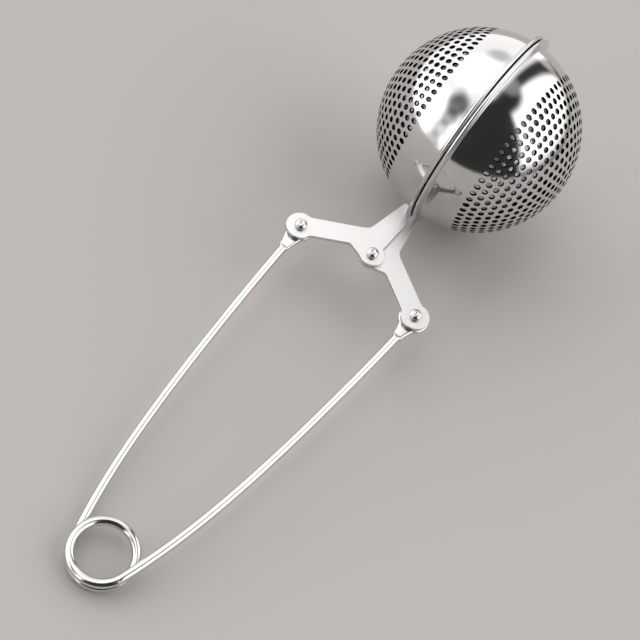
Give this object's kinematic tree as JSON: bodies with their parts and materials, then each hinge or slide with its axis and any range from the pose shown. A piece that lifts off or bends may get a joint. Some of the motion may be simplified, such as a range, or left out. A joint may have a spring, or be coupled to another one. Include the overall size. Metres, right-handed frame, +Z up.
{
  "type": "tea infuser",
  "caption": "Ball tea infuser: perforated half-ball shells on riveted crank arms, opened by squeezing a sprung wire handle with a finger ring.",
  "frame": {"origin": "centre of the bounding box in X and Y, on the flat surface that the tool lies on", "axes": "+X from the finger ring towards the ball, +Y sideways towards the left shell, +Z up; the plane of the arms and wire is tipped 6.53 degrees about Y so that the rim of the ball and the ring both touch the surface"},
  "size_m": [0.1704, 0.05, 0.054],
  "materials": {
    "shell_steel": "polished stainless sheet, mirror bright with faint rubbing marks, pierced all over with small round holes",
    "arm_steel": "tumbled and polished stainless sheet, flat, soft bright reflection",
    "wire_steel": "polished round stainless spring wire, ends pressed flat",
    "rivet_steel": "bright button-head rivets, slightly tooled"
  },
  "bodies": {
    "handle": {"handle_coil": "wire_steel", "handle_left_leg": "wire_steel"},
    "left_jaw": {"upper_arm": "arm_steel", "left_shell": "shell_steel", "left_rivet": "rivet_steel", "pivot_rivet": "rivet_steel"},
    "right_jaw": {"lower_arm": "arm_steel", "right_shell": "shell_steel", "right_rivet": "rivet_steel"},
    "right_leg": {"handle_right_leg": "wire_steel"}
  },
  "joints": [
    {"name": "jaw_pivot", "type": "hinge", "parent": "left_jaw", "child": "right_jaw", "pos_m": [0.01564, 0, 0.01609], "axis": [0.1137, 0, -0.9935], "range_deg": [0, 50], "stiffness_Nm_per_rad": 0.06, "springref_deg": -28.65},
    {"name": "left_eye", "type": "hinge", "parent": "handle", "child": "left_jaw", "pos_m": [0.01, 0.01698, 0.01545], "axis": [-0.1137, 0, 0.9935], "range_deg": [0, 27.7]},
    {"name": "ring_flex", "type": "hinge", "parent": "handle", "child": "right_leg", "pos_m": [-0.07738, 0, 0.00303], "axis": [-0.1137, 0, 0.9935], "range_deg": [0, 5.3]}
  ],
  "couplings": [
    {"joint": "left_eye", "follows": "jaw_pivot", "ratio": 0.55158},
    {"joint": "ring_flex", "follows": "jaw_pivot", "ratio": 0.10316}
  ]
}
